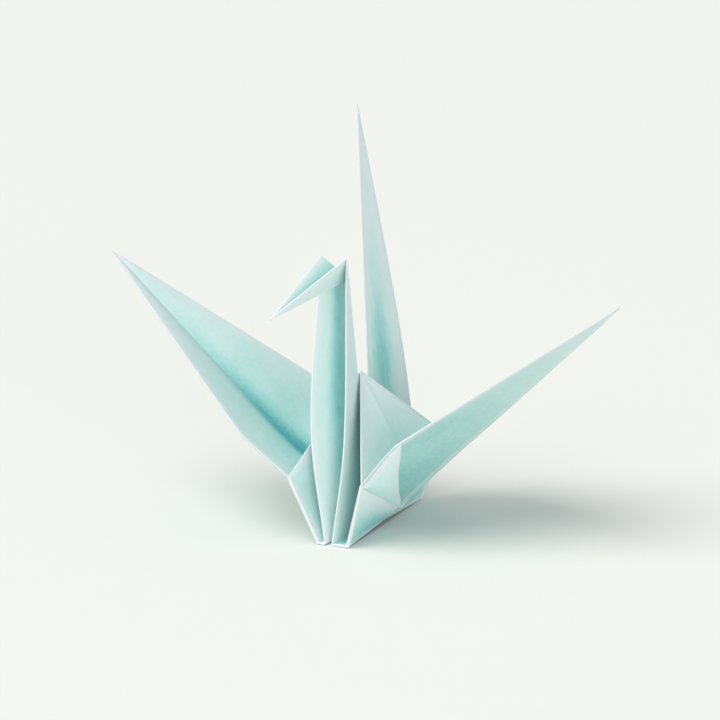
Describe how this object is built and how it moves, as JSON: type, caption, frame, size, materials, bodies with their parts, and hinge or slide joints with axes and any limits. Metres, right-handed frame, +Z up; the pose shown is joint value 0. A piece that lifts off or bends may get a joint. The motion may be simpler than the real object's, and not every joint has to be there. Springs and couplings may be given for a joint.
{
  "type": "origami crane",
  "caption": "Origami crane folded from one square paper sheet, with spread wings, upright pointed tail and a neck channel whose head folds forward.",
  "frame": {"origin": "on the floor under the middle of the crane's outline; the middle of its body is 2.65 mm from there towards the tail and 0.4 mm towards the left wing", "axes": "+Z up; the neck and head are on the -Y side, the tail on the +Y side; the wings spread along X"},
  "size_m": [0.1163, 0.0498, 0.0783],
  "materials": {
    "paper": "matt uncoated paper, pale aqua, whitened along its folds"
  },
  "bodies": {
    "root": {"folded_sheet": "paper"}
  },
  "joints": []
}
